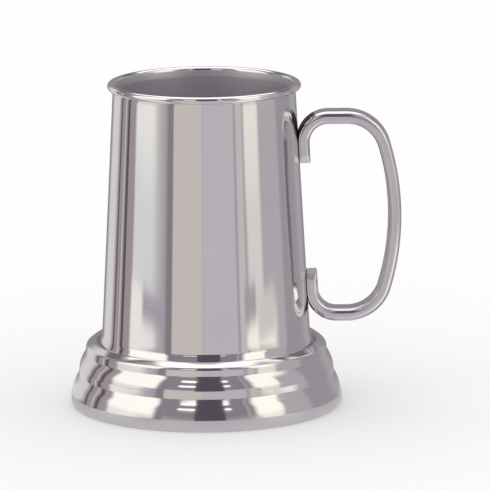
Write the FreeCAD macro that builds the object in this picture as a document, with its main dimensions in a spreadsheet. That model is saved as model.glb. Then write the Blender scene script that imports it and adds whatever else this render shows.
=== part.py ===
"""A tankard: a tapered drum with a rolled rim, a stepped foot, a soldered floor and a soldered bar handle.

The origin is on the drum's axis, level with the foot's resting face. +Z is up and +X is towards the handle.
Sizes are in millimetres. Each size that can be set by itself is a cell of the sheet "Sizes".
"""
import FreeCAD, Part
import math
import os
import re
import Sketcher
from FreeCAD import Placement, Rotation, Vector

SIZES = [
    ("total_height", 130.0, "resting face to the top of the rim"),
    ("mouth_radius", 36.3, "drum's outside, just under the lip"),
    ("drum_foot_radius", 41.6, "drum's outside, just above its flared foot"),
    ("drum_wall", 0.9, "drum's sheet"),
    ("bead_hollow", 0.55, "rolled rim, radius of the hollow inside the curl"),
    ("bead_overhang", 0.65, "rolled rim's centre, outward from the mouth radius"),
    ("lip_rise", 1.1, "where the lip starts to flare, up to the bottom of the rolled rim"),
    ("lip_rounding", 5.0, "inside of the lip's flare"),
    ("flare_rise", 3.0, "drum's flared foot, up from the seam"),
    ("flare_reach", 1.4, "drum's flared foot, outward"),
    ("flare_rounding", 4.0, "hollow of the drum's flared foot"),
    ("seam_height", 25.0, "skirt's ledge, on which the drum stands"),
    ("skirt_wall", 1.3, "foot skirt's sheet"),
    ("seam_gap", 0.2, "drum's flared foot to the root of the skirt's shoulder"),
    ("shoulder_rise", 1.75, "ledge up to the corner of the shoulder's crest"),
    ("shoulder_lean", 1.4, "shoulder's root out to the corner of its crest"),
    ("shoulder_rounding", 1.25, "shoulder's crest"),
    ("shoulder_fall", 0.8, "ledge down to the shoulder's outer corner"),
    ("shoulder_reach", 4.75, "shoulder's root out to its outer corner"),
    ("shoulder_edge", 1.9, "shoulder's outer corner, rounding"),
    ("upper_valley_height", 21.1, "corner between the shoulder and the upper moulding"),
    ("upper_valley_step", 0.4, "shoulder's outer corner out to the upper valley"),
    ("valley_rounding", 0.5, "both valleys between mouldings"),
    ("upper_high_height", 18.9, "upper moulding's higher corner"),
    ("upper_high_reach", 1.4, "upper valley out to that corner"),
    ("upper_high_rounding", 14.0, "that corner, rounding"),
    ("upper_low_height", 16.0, "upper moulding's lower corner"),
    ("upper_low_reach", 1.0, "higher corner out to the lower one"),
    ("upper_low_rounding", 10.0, "lower corner, rounding"),
    ("lower_valley_height", 12.6, "corner between the two mouldings"),
    ("lower_valley_step", 0.3, "upper moulding's lower corner out to the lower valley"),
    ("lower_high_height", 9.7, "lower moulding's higher corner"),
    ("lower_high_reach", 1.55, "lower valley out to that corner"),
    ("lower_high_rounding", 14.0, "that corner, rounding"),
    ("lower_low_height", 7.1, "lower moulding's lower corner"),
    ("lower_low_reach", 0.9, "higher corner out to the lower one"),
    ("lower_low_rounding", 14.0, "lower corner, rounding"),
    ("band_height", 4.7, "top of the plain bottom band"),
    ("band_reach", 0.65, "lower moulding's lower corner out to the band"),
    ("band_rounding", 1.6, "band's top edge"),
    ("base_rounding", 2.3, "under the band, where the skirt turns inward"),
    ("rest_lip_width", 4.4, "turned-in lip that the tankard stands on, from the band inward"),
    ("floor_wall", 1.3, "floor's sheet"),
    ("floor_rise", 4.0, "seam up to the floor's upper face"),
    ("floor_clearance", 0.1, "floor's flange to the inside of the drum"),
    ("floor_rounding", 1.8, "floor's edge, rounding into its flange"),
    ("floor_fillet", 1.5, "floor's solder ring, width on the floor and on the wall"),
    ("foot_fillet", 1.2, "foot's solder ring, width on the flange"),
    ("bar_thickness", 5.1, "handle's bar, across the plane of its bends"),
    ("bar_width", 11.4, "handle's bar, square to the plane of its bends"),
    ("bar_rounding", 2.1, "handle's bar, edges"),
    ("handle_drop", 14.2, "top of the rim down to the handle's upper run, middle of the bar"),
    ("handle_foot_height", 35.9, "handle's lower run, middle of the bar"),
    ("handle_reach", 38.0, "drum's foot radius out to where the bow's two end tangents meet"),
    ("bow_inset", 11.5, "that point back to where each run meets the bow's end tangent"),
    ("bow_straight", 1.2, "straight stretch left between the bow and each outer bend"),
    ("bend_radius", 15.5, "handle's two outer bends"),
    ("inner_bend_radius", 10.0, "handle's two bends beside the drum"),
    ("upper_tab_length", 18.2, "handle's upper run down to the end of its tab"),
    ("lower_tab_length", 17.4, "handle's lower run up to the end of its tab"),
    ("tab_grind", 0.85, "ground off the tabs' inner faces to seat them on the drum"),
    ("solder_gap", 0.25, "drum to the tabs' seats"),
    ("solder_inset", 1.2, "edges of the solder, inside the edges of the tab"),
    ("bevel_length", 2.9, "bevel at the ends of the tabs, along the bar"),
    ("bevel_depth", 1.1, "bevel at the ends of the tabs, off each side of the bar"),
]

FULL_TURN = 360.0
AXIS = "0"

doc = FreeCAD.newDocument("Tankard")


# ---------------------------------------------------------------- sheet and sketch helpers

def make_sheet():
    """Write the driving dimensions into a sheet, one named cell each."""
    sheet = doc.addObject("Spreadsheet::Sheet", "Sizes")
    for row, (name, value, meaning) in enumerate(SIZES, start=1):
        sheet.set(f"A{row}", name)
        sheet.set(f"B{row}", str(value))
        sheet.set(f"C{row}", meaning)
        sheet.setAlias(f"B{row}", name)
    doc.recompute()
    return sheet


sizes = make_sheet()


def bound(text):
    """Turn words such as 'mouth_radius - drum_wall' into an expression on the sheet's cells."""
    names = {name for name, _, _ in SIZES}
    return re.sub(r"[a-z_]+", lambda word: f"Sizes.{word[0]}" if word[0] in names else word[0], text)


def value(text):
    """The present value of such an expression."""
    result = sizes.evalExpression(bound(text))
    return float(getattr(result, "Value", result))


def plane_of(body, role):
    """One of the body's own origin planes."""
    return next(item for item in body.Origin.OriginFeatures if item.Role == role)


def lathe_sketch(name):
    """A free sketch on the XZ plane: its X is the radius and its Y is the height."""
    sketch = doc.addObject("Sketcher::SketchObject", name)
    sketch.Placement = Placement(Vector(0, 0, 0), Rotation(Vector(1, 0, 0), 90))
    return sketch


def body_sketch(body, name, role, height=None):
    """A sketch on one of the body's origin planes, raised along its normal where a height is given."""
    sketch = body.newObject("Sketcher::SketchObject", name)
    sketch.AttachmentSupport = [(plane_of(body, role), "")]
    sketch.MapMode = "FlatFace"
    if height:
        sketch.setExpression("AttachmentOffset.Base.z", bound(height))
    doc.recompute()
    return sketch


class Outline:
    """The geometry of one sketch and its constraints, added together and then bound to the sheet."""

    def __init__(self, sketch):
        self.sketch = sketch
        self.constraints = []
        self.sizes = {}

    def add(self, geometry, construction=False):
        """Draw one line, arc or point and return its number."""
        return self.sketch.addGeometry(geometry, construction)

    def hold(self, kind, *places, size=None):
        """Note a constraint. Its size, if it has one, follows the sheet."""
        if size is None:
            self.constraints.append(Sketcher.Constraint(kind, *places))
        else:
            self.sizes[len(self.constraints)] = bound(size)
            self.constraints.append(Sketcher.Constraint(kind, *places, value(size)))

    def pin(self, geometry, end, x, y):
        """Hold a point at x and y, each an expression or AXIS."""
        for text, kind, axis in ((x, "DistanceX", -2), (y, "DistanceY", -1)):
            if text == AXIS:
                self.hold("PointOnObject", geometry, end, axis)
            else:
                self.hold(kind, -1, 1, geometry, end, size=text)

    def finish(self):
        """Add the constraints and bind their sizes."""
        first = self.sketch.ConstraintCount
        self.sketch.addConstraint(self.constraints)
        for index, size in self.sizes.items():
            self.sketch.setExpression(f"Constraints[{first + index}]", size)
        doc.recompute()
        assert self.sketch.solve() == 0, f"{self.sketch.Label} doesn't solve"


def rounding_arc(before, corner, after, radius):
    """Where the arc of that radius that is tangent to both runs at a corner starts, passes and ends."""
    inward = (before - corner).normalize()
    outward = (after - corner).normalize()
    half_angle = inward.getAngle(outward) / 2
    setback = radius / math.tan(half_angle)
    bisector = (inward + outward).normalize()
    middle = corner + bisector * (radius / math.sin(half_angle) - radius)
    return corner + inward * setback, middle, corner + outward * setback


def draw_runs(outline, corners, closed, free_start=False):
    """Draw straight runs from corner to corner, each (x, y, rounding), and return the runs' numbers.

    A rounded corner keeps a construction point where its two runs would meet, held at the corner's x and y.
    """
    points = [Vector(value(x), value(y), 0) for x, y, _ in corners]
    count = len(corners)
    starts = list(points)
    ends = list(points)
    arcs = {}
    for index, (_, _, rounding) in enumerate(corners):
        if rounding:
            neighbours = points[index - 1], points[index], points[(index + 1) % count]
            arcs[index] = rounding_arc(*neighbours, value(rounding))
            ends[index], _, starts[index] = arcs[index]
    run_count = count if closed else count - 1
    run_ends = [(starts[index], ends[(index + 1) % count]) for index in range(run_count)]
    runs = [outline.add(Part.LineSegment(start, end)) for start, end in run_ends]
    for index, (x, y, rounding) in enumerate(corners):
        incoming = runs[index - 1] if closed or index > 0 else None
        outgoing = runs[index] if closed or index < run_count else None
        if rounding:
            join_with_arc(outline, arcs[index], incoming, outgoing, points[index], corners[index])
        elif incoming is None:
            if not free_start:
                outline.pin(outgoing, 1, x, y)
        else:
            if outgoing is not None:
                outline.hold("Coincident", incoming, 2, outgoing, 1)
            outline.pin(incoming, 2, x, y)
    return runs


def join_with_arc(outline, arc, incoming, outgoing, point, corner):
    """Put a tangent arc between two runs and hold the corner that it rounds."""
    x, y, rounding = corner
    start, _, finish = arc
    number = outline.add(Part.Arc(*arc))
    drawn_start = outline.sketch.getPoint(number, 1)
    forward = drawn_start.distanceToPoint(start) < drawn_start.distanceToPoint(finish)
    arc_start, arc_end = (1, 2) if forward else (2, 1)
    outline.hold("Tangent", incoming, 2, number, arc_start)
    outline.hold("Tangent", number, arc_end, outgoing, 1)
    outline.hold("Radius", number, size=rounding)
    mark = outline.add(Part.Point(point), True)
    outline.hold("PointOnObject", mark, 1, incoming)
    outline.hold("PointOnObject", mark, 1, outgoing)
    outline.pin(mark, 1, x, y)


def draw(sketch, corners, closed):
    """Fill a sketch with one chain of runs."""
    outline = Outline(sketch)
    draw_runs(outline, corners, closed)
    outline.finish()


def spin(profile, label):
    """Turn a profile about the axis into a solid."""
    solid = doc.addObject("Part::Revolution", f"{label}_turned")
    solid.Source = profile
    solid.Axis = Vector(0, 0, 1)
    solid.Base = Vector(0, 0, 0)
    solid.Angle = FULL_TURN
    solid.Solid = True
    solid.Label = label
    return solid


def spun_sheet(outline, thickness, label):
    """A spun sheet-metal piece: the outline is one face, and the thickness says on which side it lies."""
    sheet_metal = doc.addObject("Part::Offset2D", f"{label}_sheet")
    sheet_metal.Source = outline
    sheet_metal.Mode = "Skin"
    sheet_metal.Join = "Intersection"
    sheet_metal.Fill = True
    sheet_metal.setExpression("Value", bound(thickness))
    return spin(sheet_metal, label)


# ---------------------------------------------------------------- places that several pieces share

BEAD_RADIUS = "(bead_hollow + drum_wall)"
TAPER_FOOT = "(seam_height + flare_rise)"
TAPER_TOP = f"(total_height - 2 * {BEAD_RADIUS} - lip_rise)"
TAPER = f"((mouth_radius - drum_foot_radius) / ({TAPER_TOP} - {TAPER_FOOT}))"
FLOOR_RADIUS = "(drum_foot_radius - drum_wall - floor_clearance)"
FLOOR_TOP = "(seam_height + floor_rise)"
HANDLE_TOP = "(total_height - handle_drop)"
UPPER_TIP = f"({HANDLE_TOP} - upper_tab_length)"
LOWER_TIP = "(handle_foot_height + lower_tab_length)"
BOW_HALF = f"(({HANDLE_TOP} - handle_foot_height) / 2)"
BOW_LEAN = f"atan(bow_inset / {BOW_HALF})"
BOW_TANGENT = f"sqrt(bow_inset ^ 2 + {BOW_HALF} ^ 2)"
BEND_SETBACK = f"bend_radius * tan(45 deg - {BOW_LEAN} / 2)"
BOW_RADIUS = f"({BOW_TANGENT} - {BEND_SETBACK} - bow_straight) / tan({BOW_LEAN})"


def drum_radius(height):
    """The drum's outside radius at a height on its straight taper."""
    return f"(drum_foot_radius + ({height} - {TAPER_FOOT}) * {TAPER})"


# ---------------------------------------------------------------- the pieces

def make_drum():
    """The tapered drum. The outline is its inside: from the rim down the wall and out to the flared foot."""
    sketch = lathe_sketch("drum_inside")
    rim_height = f"total_height - {BEAD_RADIUS}"
    rim_radius = "mouth_radius + bead_overhang"
    corners = [
        (f"{rim_radius} - {BEAD_RADIUS}", rim_height, None),
        ("mouth_radius - drum_wall", TAPER_TOP, "lip_rounding"),
        ("drum_foot_radius - drum_wall", TAPER_FOOT, "flare_rounding"),
        ("drum_foot_radius + flare_reach - drum_wall", "seam_height", None),
    ]
    outline = Outline(sketch)
    runs = draw_runs(outline, corners, closed=False, free_start=True)
    centre = Vector(value(rim_radius), value(rim_height), 0)
    bead = Part.Circle(centre, Vector(0, 0, 1), value(BEAD_RADIUS))
    curl = outline.add(Part.ArcOfCircle(bead, -math.pi / 2, math.pi))
    outline.hold("Tangent", curl, 2, runs[0], 1)
    outline.hold("Vertical", curl, 3, curl, 1)
    outline.hold("Radius", curl, size=BEAD_RADIUS)
    outline.pin(curl, 3, rim_radius, rim_height)
    outline.finish()
    return spun_sheet(sketch, "drum_wall", "body_drum")


def make_skirt():
    """The stepped foot skirt. The outline is its outside: from the drum's ledge to the turned-in lip."""
    sketch = lathe_sketch("skirt_outside")
    root = "drum_foot_radius + flare_reach + seam_gap"
    shoulder = f"{root} + shoulder_reach"
    upper_valley = f"{shoulder} + upper_valley_step"
    upper_high = f"{upper_valley} + upper_high_reach"
    upper_low = f"{upper_high} + upper_low_reach"
    lower_valley = f"{upper_low} + lower_valley_step"
    lower_high = f"{lower_valley} + lower_high_reach"
    lower_low = f"{lower_high} + lower_low_reach"
    band = f"{lower_low} + band_reach"
    corners = [
        (f"{FLOOR_RADIUS} - floor_wall", "seam_height", None),
        (root, "seam_height", None),
        (f"{root} + shoulder_lean", "seam_height + shoulder_rise", "shoulder_rounding"),
        (shoulder, "seam_height - shoulder_fall", "shoulder_edge"),
        (upper_valley, "upper_valley_height", "valley_rounding"),
        (upper_high, "upper_high_height", "upper_high_rounding"),
        (upper_low, "upper_low_height", "upper_low_rounding"),
        (lower_valley, "lower_valley_height", "valley_rounding"),
        (lower_high, "lower_high_height", "lower_high_rounding"),
        (lower_low, "lower_low_height", "lower_low_rounding"),
        (band, "band_height", "band_rounding"),
        (band, AXIS, "base_rounding"),
        (f"{band} - rest_lip_width", AXIS, None),
    ]
    draw(sketch, corners, closed=False)
    return spun_sheet(sketch, "-1 * skirt_wall", "foot_skirt")


def make_floor():
    """The floor, with its edge turned down into a flange that stands on the skirt's ledge."""
    sketch = lathe_sketch("floor_outside")
    corners = [
        (AXIS, FLOOR_TOP, None),
        (FLOOR_RADIUS, FLOOR_TOP, "floor_rounding"),
        (FLOOR_RADIUS, "seam_height", None),
    ]
    draw(sketch, corners, closed=False)
    return spun_sheet(sketch, "-1 * floor_wall", "floor_disc")


def make_floor_ring(drum, floor):
    """The solder in the groove between the floor's rounded edge and the drum."""
    sketch = lathe_sketch("floor_ring_section")
    outside = "drum_foot_radius - drum_wall / 2"
    corners = [
        (f"{FLOOR_RADIUS} - floor_rounding", FLOOR_TOP, None),
        (FLOOR_RADIUS, f"{FLOOR_TOP} - floor_rounding", None),
        (outside, f"{FLOOR_TOP} - floor_rounding", None),
        (outside, f"{FLOOR_TOP} + floor_fillet", None),
    ]
    draw(sketch, corners, closed=True)
    rough = spin(sketch, "floor_ring_rough")
    return cut(cut(rough, drum, "floor_ring_in_drum"), floor, "floor_solder_ring")


def make_foot_ring():
    """The solder under the floor, between its flange and the inner edge of the skirt's ledge."""
    sketch = lathe_sketch("foot_ring_section")
    edge = f"{FLOOR_RADIUS} - floor_wall"
    corners = [
        (edge, "seam_height - skirt_wall", None),
        (edge, "seam_height + foot_fillet", None),
        (f"{edge} - foot_fillet", "seam_height - skirt_wall", None),
    ]
    draw(sketch, corners, closed=True)
    return spin(sketch, "foot_solder_ring")


def cut(base, tool, label):
    """The base without the tool."""
    result = doc.addObject("Part::Cut", f"{label}_cut")
    result.Base = base
    result.Tool = tool
    result.Label = label
    return result


def make_handle():
    """The bar handle: one bent bar, its tabs ground to the drum's taper and bevelled at their ends."""
    body = doc.addObject("PartDesign::Body", "handle_body")
    body.Label = "handle"
    tab_offset = "bar_thickness / 2 - tab_grind"
    upper_tip = f"{drum_radius(UPPER_TIP)} + {tab_offset}"
    lower_tip = f"{drum_radius(LOWER_TIP)} + {tab_offset}"
    bow_corner = "drum_foot_radius + handle_reach"
    path = body_sketch(body, "handle_path", "XZ_Plane")
    corners = [
        (upper_tip, UPPER_TIP, None),
        (f"{drum_radius(HANDLE_TOP)} + {tab_offset}", HANDLE_TOP, "inner_bend_radius"),
        (f"{bow_corner} - bow_inset", HANDLE_TOP, "bend_radius"),
        (bow_corner, f"({HANDLE_TOP} + handle_foot_height) / 2", BOW_RADIUS),
        (f"{bow_corner} - bow_inset", "handle_foot_height", "bend_radius"),
        (f"{drum_radius('handle_foot_height')} + {tab_offset}", "handle_foot_height", "inner_bend_radius"),
        (lower_tip, LOWER_TIP, None),
    ]
    draw(path, corners, closed=False)

    section = body_sketch(body, "handle_section", "XY_Plane", UPPER_TIP)
    near, far = f"{upper_tip} - bar_thickness / 2", f"{upper_tip} + bar_thickness / 2"
    left, right = "-1 * bar_width / 2", "bar_width / 2"
    corners = [(x, y, "bar_rounding") for x, y in ((near, left), (far, left), (far, right), (near, right))]
    draw(section, corners, closed=True)

    doc.recompute()
    bar = body.newObject("PartDesign::AdditivePipe", "handle_bar")
    bar.Profile = section
    bar.Spine = (path, [])
    doc.recompute()
    grind_seats(body)
    bevel_tabs(body)
    return body


def grind_seats(body):
    """Take away what would reach inside the drum and the solder round it."""
    sketch = body_sketch(body, "seat_cone", "XZ_Plane")
    corners = [
        (AXIS, TAPER_FOOT, None),
        (f"{drum_radius(TAPER_FOOT)} + solder_gap", TAPER_FOOT, None),
        (f"{drum_radius(TAPER_TOP)} + solder_gap", TAPER_TOP, None),
        (AXIS, TAPER_TOP, None),
    ]
    draw(sketch, corners, closed=True)
    doc.recompute()
    before = body.Shape.Volume
    seats = body.newObject("PartDesign::Groove", "tab_seats")
    seats.Profile = sketch
    seats.ReferenceAxis = (sketch, ["V_Axis"])
    seats.Angle = FULL_TURN
    doc.recompute()
    assert body.Shape.Volume < before, "the seats cut nothing"


def bevel_tabs(body):
    """Bevel both sides of both tabs at their ends."""
    sketch = body_sketch(body, "tab_bevels", "YZ_Plane")
    for tip, way in ((UPPER_TIP, "+"), (LOWER_TIP, "-")):
        for side in ("", "-1 * "):
            corners = [
                (f"{side}bar_width / 2", tip, None),
                (f"{side}bar_width / 2", f"{tip} {way} bevel_length", None),
                (f"{side}(bar_width / 2 - bevel_depth)", tip, None),
            ]
            draw(sketch, corners, closed=True)
    doc.recompute()
    before = body.Shape.Volume
    bevels = body.newObject("PartDesign::Pocket", "tab_end_bevels")
    bevels.Profile = sketch
    bevels.Reversed = True
    bevels.setExpression("Length", bound("drum_foot_radius + bar_thickness"))
    doc.recompute()
    assert body.Shape.Volume < before, "the bevels cut nothing"


def make_tab_solder(label, low, high):
    """The solder between the drum and one tab, from one height to another."""
    sketch = lathe_sketch(f"{label}_section")
    corners = [
        (drum_radius(low), low, None),
        (f"{drum_radius(low)} + solder_gap", low, None),
        (f"{drum_radius(high)} + solder_gap", high, None),
        (drum_radius(high), high, None),
    ]
    draw(sketch, corners, closed=True)
    ring = spin(sketch, f"{label}_ring")
    patch = doc.addObject("Part::Box", f"{label}_patch")
    patch.setExpression("Length", bound("drum_foot_radius + handle_reach"))
    patch.setExpression("Width", bound("bar_width - 2 * solder_inset"))
    patch.setExpression("Height", bound("total_height"))
    patch.setExpression("Placement.Base.y", bound("solder_inset - bar_width / 2"))
    solder = doc.addObject("Part::Common", f"{label}_common")
    solder.Base = ring
    solder.Tool = patch
    solder.Label = label
    return solder


def check_document():
    """Stop where any object failed to compute."""
    for item in doc.Objects:
        failed = {"Invalid", "Error"} & set(item.State)
        assert not failed, f"{item.Label} is {failed}"


def export(pieces):
    """Write each piece to parts/ under its own label."""
    os.makedirs("parts", exist_ok=True)
    for piece in pieces:
        shape = piece.Shape
        assert not shape.isNull() and shape.isValid(), f"{piece.Label} has no valid shape"
        shape.exportStep(f"parts/{piece.Label}.step")
        print(f"{piece.Label}: {len(shape.Solids)} solid, {shape.Volume:.0f} mm3")


drum = make_drum()
floor = make_floor()
pieces = [
    drum,
    floor,
    make_skirt(),
    make_floor_ring(drum, floor),
    make_foot_ring(),
    make_handle(),
    make_tab_solder("upper_handle_solder", f"{UPPER_TIP} + solder_inset",
                    f"{HANDLE_TOP} - inner_bend_radius - solder_inset"),
    make_tab_solder("lower_handle_solder", "handle_foot_height + inner_bend_radius + solder_inset",
                    f"{LOWER_TIP} - solder_inset"),
]
doc.recompute()
check_document()
export(pieces)
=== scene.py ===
"""Looks for the pewter tankard: spun meshes, a swept handle, procedural metal, a light tent and the camera.

Outlines are drawn in millimetres, and finish_mesh turns them into metres.
"""
import math

import bmesh
import bpy
import numpy as np
from mathutils import Matrix, Vector


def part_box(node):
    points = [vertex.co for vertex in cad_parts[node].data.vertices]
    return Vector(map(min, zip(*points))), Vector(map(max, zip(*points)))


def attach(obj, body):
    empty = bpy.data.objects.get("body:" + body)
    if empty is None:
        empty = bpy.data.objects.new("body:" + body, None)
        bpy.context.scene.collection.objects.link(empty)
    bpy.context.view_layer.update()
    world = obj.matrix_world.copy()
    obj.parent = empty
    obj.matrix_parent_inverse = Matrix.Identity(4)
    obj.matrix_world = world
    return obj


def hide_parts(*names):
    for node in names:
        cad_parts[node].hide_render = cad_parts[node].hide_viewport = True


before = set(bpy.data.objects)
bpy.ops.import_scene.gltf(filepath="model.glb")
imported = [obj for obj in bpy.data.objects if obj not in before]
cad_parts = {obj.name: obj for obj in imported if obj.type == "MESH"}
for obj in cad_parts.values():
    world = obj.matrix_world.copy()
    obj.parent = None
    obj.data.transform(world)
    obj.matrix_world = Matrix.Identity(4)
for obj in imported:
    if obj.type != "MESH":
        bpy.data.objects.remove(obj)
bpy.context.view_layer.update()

MM = 0.001
BODY = "root"
TURN_STEPS = 384
ARC_STEP = math.radians(7.5)
ARC_SAG_MM = 0.004
SHARP_ANGLE = math.radians(38)
RUN_STEP_MM = 3.0
HANDLE_STEP_MM = 0.6
SECTION_STEP_MM = 0.4
TINY_MM = 1e-6
WELD_M = 1e-8

# ---------------------------------------------------------------- sizes, from the frame and the sheet gauges

drum_low, drum_high = (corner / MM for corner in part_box("body_drum"))
_, skirt_high = (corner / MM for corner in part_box("foot_skirt"))
_, floor_high = (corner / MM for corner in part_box("floor_disc"))
handle_low, handle_high = (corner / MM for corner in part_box("handle"))

DRUM_WALL = 0.9
DRUM_UNEVEN = 0.022
MOUTH_RADIUS = 36.3
DRUM_FOOT_RADIUS = 41.6
RIM_TOP = drum_high.z
BEAD_RADIUS = 1.45
BEAD_OVERHANG = 0.65
BEAD_CENTRE = MOUTH_RADIUS + BEAD_OVERHANG
CURL_START = 176
CURL_END = -90
LIP_RISE = 1.1
LIP_ROUNDING = 5.0
TAPER_TOP = RIM_TOP - 2 * BEAD_RADIUS - LIP_RISE
SEAM = drum_low.z
FLARE_RISE = 3.0
FLARE_REACH = 1.4
FLARE_ROUNDING = 4.0
TAPER_FOOT = SEAM + FLARE_RISE

SKIRT_WALL = 1.3
SKIRT_UNEVEN = 0.01
BAND_RADIUS = skirt_high.x
BAND_TOP = 4.7
REST_ROUNDING = 2.3
REST_LIP = 4.4
SHOULDER_WIDTH = 4.75
CREST_LEAN = 1.4
CREST_RISE = 1.75
CREST_ROUNDING = 1.25
SHOULDER_DROP = 0.8
SHOULDER_ROUNDING = 1.9
# Each corner of the skirt's outside, from the shoulder down: its name, how far it stands out from the one
# above it, its height and its rounding.
SKIRT_CORNERS = [
    ("upper valley", 0.4, 21.1, 0.5),
    ("upper moulding, high", 1.4, 18.9, 14.0),
    ("upper moulding, low", 1.0, 16.0, 10.0),
    ("lower valley", 0.3, 12.6, 0.5),
    ("lower moulding, high", 1.55, 9.7, 14.0),
    ("lower moulding, low", 0.9, 7.1, 14.0),
    ("band", 0.65, BAND_TOP, 1.6),
]

FLOOR_WALL = 1.3
FLOOR_TOP = floor_high.z
FLOOR_RADIUS = floor_high.x
FLOOR_ROUNDING = 1.8
SOLDER_SPREAD = 1.5
SOLDER_CLEAR = 0.03
FILLET_SIZE = 1.2

BAR_THICKNESS = 5.1
BAR_WIDTH = handle_high.y - handle_low.y
BAR_ROUNDING = 2.1
HANDLE_TOP = handle_high.z - BAR_THICKNESS / 2
HANDLE_FOOT = handle_low.z + BAR_THICKNESS / 2
# The bow stands this much short of the CAD's, so that the visual model stays inside the CAD's box.
BOX_CLEARANCE = 0.02
HANDLE_REACH = 38.0 - BOX_CLEARANCE
BOW_INSET = 11.5
BEND_RADIUS = 15.5
INNER_BEND_RADIUS = 10.0
BOW_STRAIGHT = 1.2
UPPER_TAB_LENGTH = 18.2
LOWER_TAB_LENGTH = 17.4
UPPER_TIP = HANDLE_TOP - UPPER_TAB_LENGTH
LOWER_TIP = HANDLE_FOOT + LOWER_TAB_LENGTH
TAB_GRIND = 0.85
SOLDER_GAP = 0.25
SOLDER_INSET = 1.2
BEVEL_LENGTH = 2.9
BEVEL_DEPTH = 1.1
TIP_EASE = 0.2
FILM_ACROSS = 25
FILM_UP = 17

# Which faces have another finish or a painted shade: how squarely they look at the axis, or how little they
# look up.
# The handle's seats, which are painted near black as shade, are also within a short reach of the drum, in
# millimetres.
SEAT_FACING = 0.45
SEAT_REACH = 1.5
SKIRT_INSIDE_FACING = 0.2
UNDERSIDE_FACING = -0.5

# Each wave of a spun wall's unevenness: how many there are round the wall, how many millimetres up turn it
# by a radian, and where it starts.
WAVES = [
    (3, 31, 0.0),
    (5, -19, 1.3),
    (8, 47, 4.1),
]


def drum_radius(height):
    """The drum's outside radius on its straight taper."""
    share = (height - TAPER_FOOT) / (TAPER_TOP - TAPER_FOOT)
    return DRUM_FOOT_RADIUS + share * (MOUTH_RADIUS - DRUM_FOOT_RADIUS)


# ---------------------------------------------------------------- outlines

def direction(start, end):
    """The unit vector from one point to another."""
    return (Vector(end) - Vector(start)).normalized()


def rounded(corners, closed=False):
    """A smooth outline through corners, each (x, y, rounding), with its runs divided into even steps."""
    count = len(corners)
    places = [Vector(corner[:2]) for corner in corners]
    outline = []
    for index, (_, _, rounding) in enumerate(corners):
        corner = places[index]
        if not rounding or (not closed and index in (0, count - 1)):
            outline.append(corner)
            continue
        inward = direction(corner, places[index - 1])
        outward = direction(corner, places[(index + 1) % count])
        turn = math.pi - inward.angle(outward)
        setback = rounding * math.tan(turn / 2)
        start = corner + inward * setback
        centre = corner + (inward + outward).normalized() * (rounding / math.cos(turn / 2))
        sense = 1 if inward.cross(outward) < 0 else -1
        arc_step = min(ARC_STEP, math.sqrt(8 * ARC_SAG_MM / rounding))
        steps = max(2, math.ceil(turn / arc_step))
        for step in range(steps + 1):
            swing = Matrix.Rotation(sense * turn * step / steps, 2)
            outline.append(centre + swing @ (start - centre))
    if closed:
        outline.append(outline[0])
    divided = [outline[0]]
    for start, end in zip(outline, outline[1:]):
        steps = max(1, math.ceil((end - start).length / RUN_STEP_MM))
        divided += [start.lerp(end, step / steps) for step in range(1, steps + 1)]
    if closed:
        divided.pop()
    return divided


def offset(corners, distance):
    """The corners moved sideways, to the left of the way they run, with their roundings to match."""
    places = [Vector(corner[:2]) for corner in corners]
    runs = [direction(start, end) for start, end in zip(places, places[1:])]
    sides = [Vector((-run.y, run.x)) for run in runs]
    moved = []
    for index, (_, _, rounding) in enumerate(corners):
        before = sides[max(index - 1, 0)]
        after = sides[min(index, len(runs) - 1)]
        shift = (before + after) / (1 + before.dot(after))
        place = places[index] + shift * distance
        left_turn = 0 < index < len(runs) and runs[index - 1].cross(runs[index]) > 0
        grown = rounding - distance if left_turn else rounding + distance
        new_rounding = max(grown, 0) if rounding else 0
        moved.append((place.x, place.y, new_rounding))
    return moved


def lengths_along(points):
    """How far along the line each of its points is."""
    return np.concatenate([[0.0], np.cumsum(np.hypot(*np.diff(points, axis=0).T))])


def bead_arc(radius, start_degrees, end_degrees):
    """Points round the rolled rim's centre."""
    steps = max(2, math.ceil(math.radians(abs(end_degrees - start_degrees)) / ARC_STEP))
    centre = Vector((BEAD_CENTRE, RIM_TOP - BEAD_RADIUS))
    angles = np.radians(np.linspace(start_degrees, end_degrees, steps + 1))
    return [centre + radius * Vector((math.cos(angle), math.sin(angle))) for angle in angles]


# ---------------------------------------------------------------- meshes

def finish_mesh(name, points, faces, uvs):
    """An object from points in millimetres, with smooth faces, crisp edges and a UV map in metres."""
    mesh = bpy.data.meshes.new(name)
    mesh.from_pydata((np.asarray(points) * MM).tolist(), [], faces)
    mesh.validate()
    layer = mesh.uv_layers.new(name="surface")
    corner_vertices = np.zeros(len(mesh.loops), int)
    mesh.loops.foreach_get("vertex_index", corner_vertices)
    layer.data.foreach_set("uv", (np.asarray(uvs)[corner_vertices] * MM).ravel())
    welded = bmesh.new()
    welded.from_mesh(mesh)
    bmesh.ops.remove_doubles(welded, verts=welded.verts, dist=WELD_M)
    welded.to_mesh(mesh)
    welded.free()
    mesh.shade_smooth()
    mesh.set_sharp_from_angle(angle=SHARP_ANGLE)
    piece = bpy.data.objects.new(name, mesh)
    bpy.context.scene.collection.objects.link(piece)
    return piece


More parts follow.
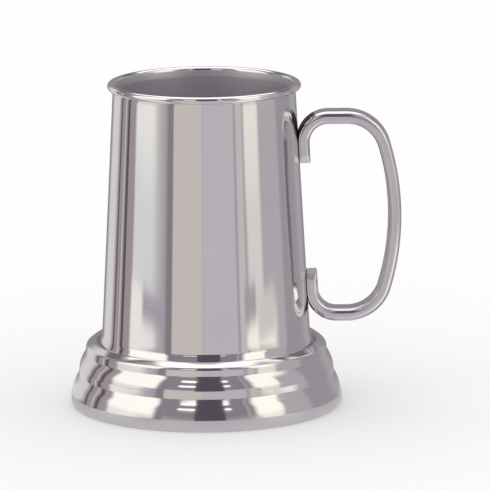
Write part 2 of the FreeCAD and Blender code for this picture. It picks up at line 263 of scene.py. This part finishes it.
def spun(name, profile, closed=True, uneven_mm=0.0):
    """A profile of (radius, height) points turned about the axis, with its wall out of true by uneven_mm."""
    profile = np.array([tuple(point) for point in profile])
    count = len(profile)
    steps = np.diff(profile, axis=0, append=profile[:1])
    if np.sum(profile[:, 0] * steps[:, 1] - profile[:, 1] * steps[:, 0]) < 0:
        return spun(name, profile[::-1], closed, uneven_mm)
    along = lengths_along(profile)
    turn = np.arange(TURN_STEPS) * 2 * math.pi / TURN_STEPS
    radius = profile[None, :, 0] + uneven_mm * wander(turn[:, None], profile[None, :, 1])
    radius = np.where(profile[None, :, 0] < TINY_MM, 0, radius)
    points = np.stack([
        radius * np.cos(turn)[:, None],
        radius * np.sin(turn)[:, None],
        np.broadcast_to(profile[None, :, 1], radius.shape),
    ], axis=-1).reshape(-1, 3)
    uvs = np.stack([np.broadcast_to(turn[:, None] * profile[:, 0].max(), radius.shape),
                    np.broadcast_to(along[None, :], radius.shape)], axis=-1).reshape(-1, 2)
    faces = []
    for ring in range(TURN_STEPS):
        here = ring * count
        there = (ring + 1) % TURN_STEPS * count
        for index in range(count if closed else count - 1):
            after = (index + 1) % count
            faces.append((here + index, there + index, there + after, here + after))
    return finish_mesh(name, points, faces, uvs)


def wander(turn, height):
    """A slow unevenness round and up a spun wall, from -1 to 1."""
    waves = [np.sin(count * turn + height / rise + start) for count, rise, start in WAVES]
    return sum(waves) / len(waves)


# ---------------------------------------------------------------- the spun pieces

def make_drum():
    """The drum: one sheet from the flared foot up to the lip, where it rolls outward into an open curl."""
    inside = [
        (DRUM_FOOT_RADIUS + FLARE_REACH - DRUM_WALL, SEAM, 0),
        (DRUM_FOOT_RADIUS - DRUM_WALL, TAPER_FOOT, FLARE_ROUNDING),
        (MOUTH_RADIUS - DRUM_WALL, TAPER_TOP, LIP_ROUNDING),
        (BEAD_CENTRE - BEAD_RADIUS, RIM_TOP - BEAD_RADIUS, 0),
    ]
    outside = offset(inside, -DRUM_WALL)
    curl = bead_arc(BEAD_RADIUS, CURL_START, CURL_END)
    hollow = bead_arc(BEAD_RADIUS - DRUM_WALL, CURL_END, CURL_START)
    profile = rounded(inside)[:-1] + curl + hollow + rounded(outside[::-1])[1:]
    return spun("drum", profile, uneven_mm=DRUM_UNEVEN)


def make_foot():
    """The foot: a stepped skirt of sheet, with a ledge under the drum and a turned-in lip to stand on."""
    reach = BAND_RADIUS - sum(step for _, step, _, _ in SKIRT_CORNERS)
    root = reach - SHOULDER_WIDTH
    outside = [
        (FLOOR_RADIUS - FLOOR_WALL, SEAM, 0),
        (root, SEAM, 0),
        (root + CREST_LEAN, SEAM + CREST_RISE, CREST_ROUNDING),
        (reach, SEAM - SHOULDER_DROP, SHOULDER_ROUNDING),
    ]
    for _, step, height, rounding in SKIRT_CORNERS:
        reach += step
        outside.append((reach, height, rounding))
    outside.append((BAND_RADIUS, 0.0, REST_ROUNDING))
    outside.append((BAND_RADIUS - REST_LIP, 0.0, 0))
    inside = offset(outside, -SKIRT_WALL)
    return spun("foot", rounded(outside) + rounded(inside[::-1]), uneven_mm=SKIRT_UNEVEN)


def make_floor():
    """The drum's floor, with its edge turned down."""
    top = [
        (0.0, FLOOR_TOP, 0),
        (FLOOR_RADIUS, FLOOR_TOP, FLOOR_ROUNDING),
        (FLOOR_RADIUS, SEAM, 0),
    ]
    under = offset(top, -FLOOR_WALL)
    return spun("floor", rounded(top) + rounded(under[::-1]), closed=False)


def make_floor_solder():
    """The ring of solder that fills the groove between the floor's rounded edge and the drum."""
    groove = rounded([
        (FLOOR_RADIUS - FLOOR_ROUNDING, FLOOR_TOP, 0),
        (FLOOR_RADIUS, FLOOR_TOP, FLOOR_ROUNDING - TINY_MM),
        (FLOOR_RADIUS, FLOOR_TOP - SOLDER_SPREAD, 0),
    ])
    low, high = FLOOR_TOP - SOLDER_SPREAD, FLOOR_TOP + SOLDER_SPREAD
    wall = [(drum_radius(height) - DRUM_WALL - SOLDER_CLEAR, height) for height in (low, high)]
    return spun("floor_solder", groove + [Vector(place) for place in wall])


def make_foot_solder():
    """The ring of solder in the corner between the floor's edge and the foot's ledge."""
    flange = FLOOR_RADIUS - FLOOR_WALL
    corners = [
        (flange, SEAM - SKIRT_WALL, 0),
        (flange, SEAM + FILLET_SIZE, 0),
        (flange - FILLET_SIZE, SEAM - SKIRT_WALL, 0),
    ]
    return spun("foot_solder", rounded(corners, closed=True))


# ---------------------------------------------------------------- the handle

def handle_line():
    """The middle of the bar, from the upper tab's tip round the bow to the lower tab's tip, as (x, z)."""
    half = (HANDLE_TOP - HANDLE_FOOT) / 2
    lean = math.atan2(BOW_INSET, half)
    bow = DRUM_FOOT_RADIUS + HANDLE_REACH
    tangent = math.hypot(BOW_INSET, half)
    bow_radius = (tangent - BEND_RADIUS * math.tan(math.pi / 4 - lean / 2) - BOW_STRAIGHT) / math.tan(lean)
    seat = BAR_THICKNESS / 2 - TAB_GRIND
    return rounded([
        (drum_radius(UPPER_TIP) + seat, UPPER_TIP, 0),
        (drum_radius(HANDLE_TOP) + seat, HANDLE_TOP, INNER_BEND_RADIUS),
        (bow - BOW_INSET, HANDLE_TOP, BEND_RADIUS),
        (bow, (HANDLE_TOP + HANDLE_FOOT) / 2, bow_radius),
        (bow - BOW_INSET, HANDLE_FOOT, BEND_RADIUS),
        (drum_radius(HANDLE_FOOT) + seat, HANDLE_FOOT, INNER_BEND_RADIUS),
        (drum_radius(LOWER_TIP) + seat, LOWER_TIP, 0),
    ])


def even_steps(line, step):
    """The line divided again into steps of one length."""
    line = np.array([tuple(point) for point in line])
    along = lengths_along(line)
    places = np.linspace(0, along[-1], round(along[-1] / step) + 1)
    points = [np.interp(places, along, line[:, axis]) for axis in (0, 1)]
    return np.stack(points, axis=-1), places


def bar_section():
    """The bar's section as (across the plane of the bends, along Y), closed."""
    across, wide = BAR_THICKNESS / 2, BAR_WIDTH / 2
    corners = [
        (-across, -wide, BAR_ROUNDING),
        (across, -wide, BAR_ROUNDING),
        (across, wide, BAR_ROUNDING),
        (-across, wide, BAR_ROUNDING),
    ]
    outline = np.array([tuple(point) for point in rounded(corners, closed=True)])
    closed = np.vstack([outline, outline[:1]])
    points, _ = even_steps(closed, SECTION_STEP_MM)
    return points[:-1]


def make_handle():
    """The bar handle, swept round its line, with its seats ground to the drum and its tips bevelled."""
    line, along = even_steps(handle_line(), HANDLE_STEP_MM)
    tangent = np.gradient(line, axis=0)
    tangent /= np.hypot(*tangent.T)[:, None]
    sideways = np.stack([-tangent[:, 1], tangent[:, 0]], axis=-1)
    section = bar_section()
    from_tip = np.minimum(along, along[-1] - along)
    width = BAR_WIDTH / 2 - BEVEL_DEPTH * np.clip(1 - from_tip / BEVEL_LENGTH, 0, 1)
    eased = section[None, :, :] * np.ones((len(line), 1, 1))
    eased[:, :, 1] = np.clip(eased[:, :, 1], -width[:, None], width[:, None])
    ends = from_tip < TINY_MM
    eased[ends] *= 1 - TIP_EASE / np.array([BAR_THICKNESS / 2, width[0]])
    points = np.stack([
        line[:, None, 0] + sideways[:, None, 0] * eased[:, :, 0],
        eased[:, :, 1],
        line[:, None, 1] + sideways[:, None, 1] * eased[:, :, 0],
    ], axis=-1)
    seat = drum_radius(points[..., 2]) + SOLDER_GAP
    inner_x = np.sqrt(np.maximum(seat ** 2 - points[..., 1] ** 2, 0))
    points[..., 0] = np.maximum(points[..., 0], inner_x)
    count = len(section)
    uvs = np.stack([np.broadcast_to(along[:, None], points.shape[:2]),
                    np.broadcast_to(lengths_along(section)[None, :], points.shape[:2])], axis=-1)
    last = (len(line) - 1) * count
    faces = [tuple(range(count)), tuple(range(last + count - 1, last - 1, -1))]
    for ring in range(len(line) - 1):
        for index in range(count):
            after = (index + 1) % count
            here = ring * count
            faces.append((here + index, here + count + index, here + count + after, here + after))
    return finish_mesh("handle_bar", points.reshape(-1, 3), faces, uvs.reshape(-1, 2))


def make_tab_solder(name, low, high):
    """The film of solder between the drum and a tab, from one height to another."""
    half = BAR_WIDTH / 2 - SOLDER_INSET
    points, uvs = [], []
    for height in np.linspace(low, high, FILM_UP):
        for side in np.linspace(-half, half, FILM_ACROSS):
            angle = side / drum_radius(height)
            for reach in (0.0, SOLDER_GAP):
                radius = drum_radius(height) + reach
                points.append((radius * math.cos(angle), radius * math.sin(angle), height))
                uvs.append((side, height + reach))

    def number(row, column, outer):
        """Which point is at a row and column, on the drum's side (0) or the tab's side (1)."""
        return (row * FILM_ACROSS + column) * 2 + outer

    faces = []
    for row in range(FILM_UP - 1):
        for column in range(FILM_ACROSS - 1):
            for outer in (0, 1):
                quad = [number(row, column, outer), number(row, column + 1, outer),
                        number(row + 1, column + 1, outer), number(row + 1, column, outer)]
                faces.append(quad if outer else quad[::-1])
    border = [(0, column) for column in range(FILM_ACROSS)]
    border += [(row, FILM_ACROSS - 1) for row in range(1, FILM_UP)]
    border += [(FILM_UP - 1, column) for column in range(FILM_ACROSS - 2, -1, -1)]
    border += [(row, 0) for row in range(FILM_UP - 2, 0, -1)]
    for here, there in zip(border, border[1:] + border[:1]):
        faces.append((number(*here, 0), number(*there, 0), number(*there, 1), number(*here, 1)))
    return finish_mesh(name, points, faces, uvs)


# ---------------------------------------------------------------- metal

PEWTER = (0.80, 0.775, 0.785)
WORKED_PEWTER = (0.745, 0.715, 0.745)
# Lighter, warmer pewter for the tips' bevels: a painted glint.
BEVEL_GLINT_PEWTER = (0.90, 0.885, 0.86)
# Lighter, bluer pewter for the inside of the drum and its floor: painted light, for the bluish light inside.
INSIDE_PAINTED_LIGHT_PEWTER = (0.86, 0.835, 0.88)
# Near black for the handle's seats against the drum: painted shade for the shadowed gap between tab and drum.
SEAT_SHADE_COLOUR = (0.06, 0.056, 0.06)
# Near black for the solder joints: real solder, darkened past its own grey as painted shade in the gaps and
# creases it fills.
SOLDER_AND_SHADE_COLOUR = (0.13, 0.125, 0.128)
SHADE = 0.9
GRAIN_PER_METRE = 2600.0
GRAIN_SHARE = 0.35
CLOUDS_PER_METRE = 38.0
# How much longer a tool mark is than it is wide, and the part of the noise's range that roughness follows.
MARK_LENGTH = 90
MARKS_LOW = 0.3
MARKS_HIGH = 0.7


def new_material(name):
    """A material with its shader, and a helper that adds and links nodes."""
    material = bpy.data.materials.new(name)
    material.use_nodes = True
    nodes, links = material.node_tree.nodes, material.node_tree.links
    shader = nodes["Principled BSDF"]

    def add(kind, **settings):
        node = nodes.new(kind)
        for key, setting in settings.items():
            if isinstance(setting, bpy.types.NodeSocket):
                links.new(setting, node.inputs[key])
            elif key in node.inputs:
                node.inputs[key].default_value = setting
            else:
                setattr(node, key, setting)
        return node

    return material, shader, add, links


def show(material, shading):
    """Let a material's surface be this shading."""
    output = next(node for node in material.node_tree.nodes if node.type == "OUTPUT_MATERIAL")
    material.node_tree.links.new(shading, output.inputs["Surface"])


def pewter(name, colour, roughness, lines, line_depth, cloud=0.02):
    """Pewter: lines is its tool marks in a metre, line_depth their depth, cloud how uneven its roughness."""
    material, shader, add, links = new_material(name)
    surface = add("ShaderNodeUVMap", uv_map="surface").outputs["UV"]
    solid = add("ShaderNodeTexCoord").outputs["Object"]
    drawn_out = add("ShaderNodeMapping", Vector=surface, Scale=(lines / MARK_LENGTH, lines, 1))
    marks = add("ShaderNodeTexNoise", Vector=drawn_out.outputs[0], Scale=1.0, Detail=3.0).outputs["Fac"]
    grain = add("ShaderNodeTexNoise", Vector=solid, Scale=GRAIN_PER_METRE, Detail=2.0).outputs["Fac"]
    clouds = add("ShaderNodeTexNoise", Vector=solid, Scale=CLOUDS_PER_METRE, Detail=4.0).outputs["Fac"]
    tones = add("ShaderNodeValToRGB", Fac=clouds)
    for stop, share in zip(tones.color_ramp.elements, (1.0, SHADE)):
        stop.color = (*[share * value for value in colour], 1)
    links.new(tones.outputs["Color"], shader.inputs["Base Color"])
    spread = add("ShaderNodeMapRange", Value=marks)
    spread.inputs["From Min"].default_value = MARKS_LOW
    spread.inputs["From Max"].default_value = MARKS_HIGH
    spread.inputs["To Min"].default_value = roughness - cloud
    spread.inputs["To Max"].default_value = roughness + cloud
    links.new(spread.outputs["Result"], shader.inputs["Roughness"])
    relief = add("ShaderNodeMath", operation="MULTIPLY_ADD")
    relief.inputs[1].default_value = GRAIN_SHARE
    links.new(grain, relief.inputs[0])
    links.new(marks, relief.inputs[2])
    bump = add("ShaderNodeBump", Height=relief.outputs[0], Strength=1.0, Distance=line_depth)
    links.new(bump.outputs["Normal"], shader.inputs["Normal"])
    shader.inputs["Metallic"].default_value = 1.0
    return material


# ---------------------------------------------------------------- studio

# The tent reaches a little below the table, so that no gap shows between them.
TENT_RADIUS = 0.8
TABLE_DEPTH = 0.0004
TENT_FOOT = -0.2
FULL_TURN = 360
TENT_ACROSS = 1081
TENT_UP = 181
TABLE_OUT = 41
NEAREST_SHARE = 1.2
FLOOR_REACH = 30.0
PALE_FLOOR = (0.9, 0.9, 0.9, 1)
SKY_STRENGTH = 1.10

# Each panel of the light tent: its name, the azimuths that it spans, its elevations, how soft its edges are
# across (left, right) and up, all in degrees, and its brightness in red, green and blue. Azimuths are as a
# mirror the size of the drum sees them: 0 is the camera's side, and positive is to the right. A later panel
# covers the ones before it.
PANELS = [
    ("all round", (-200, 200), (-9, 99), (1, 1), 1, (0.46, 0.44, 0.46)),
    ("rear left", (-190, -130), (-9, 60), (20, 6), 12, (0.80, 0.78, 0.77)),
    ("rear, middle", (-205, -155), (-9, 42), (16, 16), 8, (0.32, 0.30, 0.33)),
    ("rear, dark band", (-240, -125), (34, 47), (20, 20), 5, (0.20, 0.18, 0.20)),
    ("rear, lit from above", (-240, -125), (50, 70), (20, 20), 4, (1.7, 1.7, 1.66)),
    ("dark stand", (-127, -93), (-9, 70), (2, 2), 6, (0.41, 0.36, 0.375)),
    ("stand's left edge", (-125, -122), (-9, 70), (1, 1), 6, (0.12, 0.10, 0.11)),
    ("stand's tube", (-114.5, -112.5), (-9, 70), (1, 1), 6, (0.72, 0.68, 0.64)),
    ("stand's middle edge", (-109.5, -105), (-9, 70), (1, 1), 6, (0.12, 0.10, 0.11)),
    ("left softbox", (-92, -57), (-9, 58), (3, 22), 8, (0.78, 0.80, 0.80)),
    ("left softbox, upper part", (-93, -63), (1.5, 60), (5, 12), 6, (1.02, 1.02, 0.96)),
    ("left softbox, hot part", (-95, -44), (12, 58), (6, 14), 8, (1.30, 1.30, 1.20)),
    ("right softbox", (50, 69), (-9, 58), (5, 6), 8, (0.80, 0.785, 0.76)),
    ("right softbox, upper part", (49, 68), (1.5, 60), (4, 6), 6, (1.0, 0.985, 0.89)),
    ("right softbox, hot part", (44, 88), (12, 58), (5, 16), 8, (1.32, 1.30, 1.16)),
    ("right wall", (70, 101), (-9, 34), (4, 10), 12, (0.53, 0.50, 0.53)),
    ("far right wall", (100, 136), (-9, 34), (8, 12), 12, (0.40, 0.365, 0.40)),
    ("overhead softbox", (-240, 240), (66, 99), (1, 1), 8, (1.45, 1.45, 1.43)),
    ("ceiling in front", (-38, 41), (14, 70), (2, 2), 5, (0.30, 0.27, 0.31)),
    ("gap left of the front", (-46, -38), (-9, 60), (5, 1.5), 6, (0.29, 0.26, 0.30)),
    ("front, warm side", (-38, -3), (-9, 11), (1.5, 5), 3, (0.685, 0.645, 0.612)),
    ("front, cool side", (-3, 35.5), (-9, 11), (5, 1.5), 3, (0.615, 0.585, 0.63)),
    ("front's right edge", (35.5, 38.5), (-9, 60), (1.5, 1), 6, (0.46, 0.43, 0.46)),
    ("right of the front", (38.5, 46.5), (-9, 12), (1, 2), 6, (0.66, 0.64, 0.63)),
    ("light strip, low", (-26, 22), (24.5, 29), (1, 1), 1.5, (1.6, 1.6, 1.5)),
    ("light strip, high", (-26, 22), (38, 44), (1, 1), 1.5, (1.6, 1.6, 1.5)),
    ("behind the camera", (-10.5, 16), (9, 62), (1, 1), 2, (0.11, 0.095, 0.125)),
]
# The same for the table that the tankard stands on, with distance from its axis, as a share of the tent's
# radius, in place of elevation. It carries on every panel that reaches down to it.
TABLE = [
    ("lit table, left", (-93, -59), (0.12, 0.41), (6, 10), 0.12, (1.02, 1.0, 0.95)),
    ("dim table, left", (-76, -48), (0.44, 0.58), (6, 8), 0.08, (0.45, 0.43, 0.48)),
    ("lit edge, left", (-93, -77), (0.36, 0.56), (5, 4), 0.08, (1.05, 1.02, 0.96)),
    ("lit table, right", (46, 84), (0.12, 0.45), (5, 12), 0.12, (1.16, 1.14, 1.02)),
    ("dim table, right", (44, 58), (0.48, 0.66), (3, 4), 0.08, (0.44, 0.42, 0.46)),
    ("lit edge, right", (60, 84), (0.36, 0.58), (5, 10), 0.08, (0.76, 0.73, 0.70)),
    ("table by the foot", (-240, 240), (-1, 0.1), (1, 1), 0.04, (0.66, 0.65, 0.65)),
]


def soft_step(value, start, end, start_soft, end_soft):
    """1 between start and end and 0 outside, with an edge of its own softness at each end."""
    rise = np.clip((value - start) / start_soft + 0.5, 0, 1)
    fall = np.clip((end - value) / end_soft + 0.5, 0, 1)
    cover = np.minimum(rise, fall)
    return cover * cover * (3 - 2 * cover)


def painted(glow, azimuth, height, panels):
    """Paint the panels over what glows already."""
    for _, across, up, soft_across, soft_up, colour in panels:
        upright = soft_step(height, *up, soft_up, soft_up)
        turns = [soft_step(azimuth + turn, *across, *soft_across) for turn in (-FULL_TURN, 0, FULL_TURN)]
        cover = (np.max(turns, axis=0) * upright)[..., None]
        glow = glow * (1 - cover) + np.array(colour) * cover
    return glow


def as_seen(azimuth, distance):
    """The azimuth in which the drum reflects what stands at an azimuth and a distance from its axis."""
    middle_radius = (DRUM_FOOT_RADIUS + MOUTH_RADIUS) / 2 * MM
    share = middle_radius / np.maximum(distance, middle_radius * NEAREST_SHARE)
    return azimuth + np.degrees(np.arcsin(share * np.sin(np.radians(azimuth) / 2)))


def glow_grid(name, points, glow):
    """A grid of points that glows with its own colour at each point, seen only in reflections."""
    rows, columns = points.shape[:2]
    faces = []
    for row in range(rows - 1):
        for column in range(columns - 1):
            here = row * columns + column
            faces.append((here, here + 1, here + columns + 1, here + columns))
    mesh = bpy.data.meshes.new(name)
    mesh.from_pydata(points.reshape(-1, 3).tolist(), [], faces)
    colours = mesh.attributes.new("glow", "FLOAT_COLOR", "POINT")
    colours.data.foreach_set("color", np.concatenate([glow, np.ones((rows, columns, 1))], axis=-1).ravel())
    card = bpy.data.objects.new(name, mesh)
    bpy.context.scene.collection.objects.link(card)
    card.visible_camera = False
    card.visible_diffuse = False
    card.visible_shadow = False
    card.data.materials.append(glow_material())


def glow_material():
    """Light from the glow attribute."""
    material, _, add, _ = new_material("tent_light")
    colour = add("ShaderNodeAttribute", attribute_name="glow").outputs["Color"]
    show(material, add("ShaderNodeEmission", Color=colour).outputs["Emission"])
    return material


def make_tent():
    """A light tent round the tankard and the table that it stands on, both seen only in reflections."""
    around = np.linspace(-FULL_TURN / 2, FULL_TURN / 2, TENT_ACROSS)
    azimuth, elevation = np.meshgrid(around, np.linspace(TENT_FOOT, 90, TENT_UP))
    flat, up = np.radians(azimuth), np.radians(elevation)
    out = np.stack([np.sin(flat) * np.cos(up), -np.cos(flat) * np.cos(up), np.sin(up)], axis=-1)
    seen = as_seen(azimuth, TENT_RADIUS * np.cos(up))
    glow = painted(np.zeros((*azimuth.shape, 3)), seen, elevation, PANELS)
    glow_grid("light_tent", out * TENT_RADIUS, glow)
    azimuth, share = np.meshgrid(around, np.linspace(0, 1, TABLE_OUT) ** 2)
    flat = np.radians(azimuth)
    out = np.stack([np.sin(flat) * share, -np.cos(flat) * share, np.zeros_like(share)], axis=-1) * TENT_RADIUS
    out[..., 2] = -TABLE_DEPTH
    seen = as_seen(azimuth, TENT_RADIUS * share)
    glow = painted(np.zeros((*azimuth.shape, 3)), seen, np.zeros_like(share), PANELS)
    glow_grid("light_table", out, painted(glow, seen, share, TABLE))


def make_floor_and_world():
    """A plain pale floor, which can be seen through from below, and even light from all round."""
    mesh = bpy.data.meshes.new("ground")
    corners = [(-1, -1, 0), (1, -1, 0), (1, 1, 0), (-1, 1, 0)]
    mesh.from_pydata([Vector(corner) * FLOOR_REACH for corner in corners], [], [(0, 1, 2, 3)])
    ground = bpy.data.objects.new("ground", mesh)
    bpy.context.scene.collection.objects.link(ground)
    ground.visible_glossy = False
    material, shader, add, links = new_material("pale_floor")
    shader.inputs["Base Color"].default_value = PALE_FLOOR
    shader.inputs["Roughness"].default_value = 1.0
    shader.inputs["Specular IOR Level"].default_value = 0.0
    from_above_only = add("ShaderNodeMixShader")
    links.new(add("ShaderNodeNewGeometry").outputs["Backfacing"], from_above_only.inputs[0])
    links.new(shader.outputs[0], from_above_only.inputs[1])
    links.new(add("ShaderNodeBsdfTransparent").outputs[0], from_above_only.inputs[2])
    show(material, from_above_only.outputs[0])
    mesh.materials.append(material)
    world = bpy.data.worlds.new("studio")
    world.use_nodes = True
    background = world.node_tree.nodes["Background"]
    background.inputs["Color"].default_value = (1, 1, 1, 1)
    background.inputs["Strength"].default_value = SKY_STRENGTH
    bpy.context.scene.world = world
    bpy.context.scene.view_settings.view_transform = "Standard"


# ---------------------------------------------------------------- camera

# The camera stands back from the orbit point, and looks a little to the right of it and above it.
VIEW_DISTANCE = 1.9
VIEW_ELEVATION = math.radians(11.64)
VIEW_ROLL = math.radians(-0.38)
LENS_MM = 349.8
SENSOR_MM = 36.0
ORBIT_POINT = Vector((0, 0, 0.060))
AIM_RIGHT = 0.0158
AIM_UP = 0.0037
CLIP_END = 100.0


def make_camera():
    """A long lens, looking down on the rim, aimed so that the handle fits in the frame."""
    back = Vector((0, -math.cos(VIEW_ELEVATION), math.sin(VIEW_ELEVATION)))
    up = Vector((0, math.sin(VIEW_ELEVATION), math.cos(VIEW_ELEVATION)))
    data = bpy.data.cameras.new("camera")
    data.lens = LENS_MM
    data.sensor_width = SENSOR_MM
    data.clip_end = CLIP_END
    camera = bpy.data.objects.new("camera", data)
    camera.location = ORBIT_POINT + back * VIEW_DISTANCE
    aim = ORBIT_POINT + Vector((AIM_RIGHT, 0, 0)) + up * AIM_UP
    look = (aim - camera.location).to_track_quat("-Z", "Y")
    camera.rotation_mode = "QUATERNION"
    camera.rotation_quaternion = look @ Matrix.Rotation(VIEW_ROLL, 3, "Z").to_quaternion()
    bpy.context.scene.collection.objects.link(camera)
    bpy.context.scene.camera = camera


# ---------------------------------------------------------------- assembly

def place(piece, material, node, slot):
    """Dress a piece, stand it for its CAD node and let it ride with the body."""
    piece.data.materials.append(material)
    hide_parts(node)
    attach(piece, BODY)
    return piece


def finish_where(piece, material, chosen):
    """Give the faces that chosen picks, by their middle and normal, a material of their own: a finish, or
    painted light or shade.
    """
    piece.data.materials.append(material)
    index = len(piece.data.materials) - 1
    for face in piece.data.polygons:
        if chosen(face.center / MM, face.normal):
            face.material_index = index


def faces_axis(middle, normal):
    """How squarely a face looks at the drum's axis: 1 is straight at it."""
    inward = Vector((-middle.x, -middle.y, 0)).normalized()
    return inward.dot(normal)


mirror = pewter("polished_pewter", PEWTER, roughness=0.06, lines=1600, line_depth=3.5e-7)
foot_metal = pewter("foot_pewter", PEWTER, roughness=0.085, lines=1600, line_depth=3.0e-7)
# Painted light: the inside is a lighter, bluer copy of the pewter, with a rougher spun finish.
inside_painted_light_metal = pewter("spun_pewter_painted_light", INSIDE_PAINTED_LIGHT_PEWTER, roughness=0.46, lines=1300, line_depth=8.0e-6, cloud=0.05)
bar_metal = pewter("brushed_pewter", WORKED_PEWTER, roughness=0.17, lines=900, line_depth=2.4e-6, cloud=0.04)
band_metal = pewter("satin_pewter", WORKED_PEWTER, roughness=0.33, lines=1500, line_depth=2.0e-6, cloud=0.04)
# Painted glint: the tips' bevels get a lighter, warmer base, with a rough finish.
bevel_glint_metal = pewter("bevel_painted_glint", BEVEL_GLINT_PEWTER, roughness=0.4, lines=2500, line_depth=6.0e-6, cloud=0.05)
# Painted shade: the handle's seats are near black, because the gap beside the drum lies in shade.
seat_shade_metal = pewter("painted_seat_shade", SEAT_SHADE_COLOUR, roughness=0.5, lines=500, line_depth=1.0e-5, cloud=0.06)
# The material named solder is near black: real solder joints, with painted shade for the gaps and creases
# they sit in.
solder_and_shade_metal = pewter("solder", SOLDER_AND_SHADE_COLOUR, roughness=0.42, lines=400, line_depth=1.5e-5, cloud=0.06)

drum = place(make_drum(), mirror, "body_drum", "drum")
# The drum's inside faces take the painted light.
finish_where(drum, inside_painted_light_metal, lambda middle, normal: (
    faces_axis(middle, normal) > 0 and middle.z < RIM_TOP - BEAD_RADIUS))
foot = place(make_foot(), foot_metal, "foot_skirt", "foot")
finish_where(foot, band_metal, lambda middle, normal: (
    middle.z < BAND_TOP or faces_axis(middle, normal) > SKIRT_INSIDE_FACING or normal.z < UNDERSIDE_FACING))
# The floor takes the inside's painted light too.
place(make_floor(), inside_painted_light_metal, "floor_disc", "floor")
handle = place(make_handle(), bar_metal, "handle", "handle")
# The bevels at the tabs' tips take the painted glint.
finish_where(handle, bevel_glint_metal, lambda middle, normal: (
    min(abs(middle.z - UPPER_TIP), abs(middle.z - LOWER_TIP)) < BEVEL_LENGTH
    and middle.x < DRUM_FOOT_RADIUS + BAR_THICKNESS))
# The handle's faces that closely face the drum get the painted shade of the gap.
finish_where(handle, seat_shade_metal, lambda middle, normal: (
    faces_axis(middle, normal) > SEAT_FACING and middle.x < DRUM_FOOT_RADIUS + SEAT_REACH))
upper_seat_top = HANDLE_TOP - INNER_BEND_RADIUS - SOLDER_INSET
lower_seat_foot = HANDLE_FOOT + INNER_BEND_RADIUS + SOLDER_INSET
upper_solder = make_tab_solder("handle_solder_upper", UPPER_TIP + SOLDER_INSET, upper_seat_top)
lower_solder = make_tab_solder("handle_solder_lower", lower_seat_foot, LOWER_TIP - SOLDER_INSET)
# The solder films and rings carry painted shade in their near black colour.
place(upper_solder, solder_and_shade_metal, "upper_handle_solder", "solder")
place(lower_solder, solder_and_shade_metal, "lower_handle_solder", "solder")
place(make_floor_solder(), solder_and_shade_metal, "floor_solder_ring", "solder")
place(make_foot_solder(), solder_and_shade_metal, "foot_solder_ring", "solder")

make_tent()
make_floor_and_world()
make_camera()
